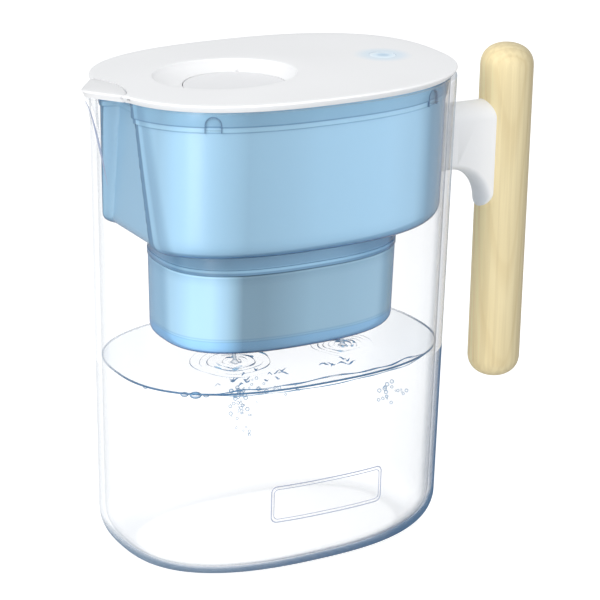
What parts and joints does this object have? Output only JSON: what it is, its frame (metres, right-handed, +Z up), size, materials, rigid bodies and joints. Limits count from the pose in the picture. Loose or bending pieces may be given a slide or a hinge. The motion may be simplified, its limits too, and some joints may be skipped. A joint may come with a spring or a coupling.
{
  "type": "water filter pitcher",
  "caption": "Clear oval water jug with a pouring beak, lift-out filter reservoir, flip-lid refill flap and a round wooden grip.",
  "frame": {"origin": "centre of the flat base, on the table", "axes": "+X towards the handle, the beak points to -X; +Z up; the jug's broad faces look along +Y and -Y"},
  "size_m": [0.2754, 0.1394, 0.265],
  "materials": {
    "clear_plastic": "clear, gloss",
    "blue_plastic": "translucent, gloss",
    "cartridge_plastic": "translucent, gloss",
    "white_plastic": "satin",
    "lid_plastic": "satin",
    "pale_wood": "oiled",
    "brass": "plain",
    "steel": "plain",
    "seal_rubber": "matt",
    "filter_felt": "felt",
    "filter_media": "porous",
    "board_green": "solder mask",
    "switch_plastic": "plain",
    "led_lens": "translucent"
  },
  "bodies": {
    "jug": {"pitcher_jug": "clear_plastic", "handle_bracket": "white_plastic", "handle_grip": "pale_wood", "grip_inserts": "brass", "grip_screws": "steel"},
    "reservoir": {"reservoir_tank": "blue_plastic"},
    "cartridge": {"cartridge_housing": "cartridge_plastic", "cartridge_cap": "white_plastic", "cartridge_gasket": "seal_rubber", "inlet_screen": "filter_felt", "carbon_block": "filter_media", "outlet_pad": "filter_felt"},
    "lid": {"lid_shell": "lid_plastic", "lid_collar": "lid_plastic", "indicator_case": "white_plastic", "circuit_board": "board_green", "indicator_led": "led_lens", "tact_switch": "switch_plastic", "battery_contact": "brass", "coin_cell": "steel", "battery_cover": "white_plastic", "cover_gasket": "seal_rubber"},
    "flap": {"refill_flap": "lid_plastic"},
    "spout_flap": {"spout_cover": "lid_plastic"},
    "button": {"indicator_button": "led_lens"}
  },
  "joints": [
    {"name": "reservoir_lift", "type": "slide", "parent": "jug", "child": "reservoir", "axis": [0, 0, 1], "range_m": [0, 0.15]},
    {"name": "cartridge_pull", "type": "slide", "parent": "reservoir", "child": "cartridge", "axis": [0, 0, 1], "range_m": [-0.03, 0]},
    {"name": "lid_lift", "type": "slide", "parent": "reservoir", "child": "lid", "axis": [0, 0, 1], "range_m": [0, 0.03]},
    {"name": "flap_hinge", "type": "hinge", "parent": "lid", "child": "flap", "pos_m": [-0.009, 0, 0.2568], "axis": [0, 1, 0], "range_deg": [0, 65]},
    {"name": "spout_hinge", "type": "hinge", "parent": "lid", "child": "spout_flap", "pos_m": [-0.0965, 0, 0.2636], "axis": [0, 1, 0], "range_deg": [0, 55]},
    {"name": "button_press", "type": "slide", "parent": "lid", "child": "button", "axis": [0, 0, 1], "range_m": [-0.0006, 0], "stiffness_N_per_m": 500}
  ]
}
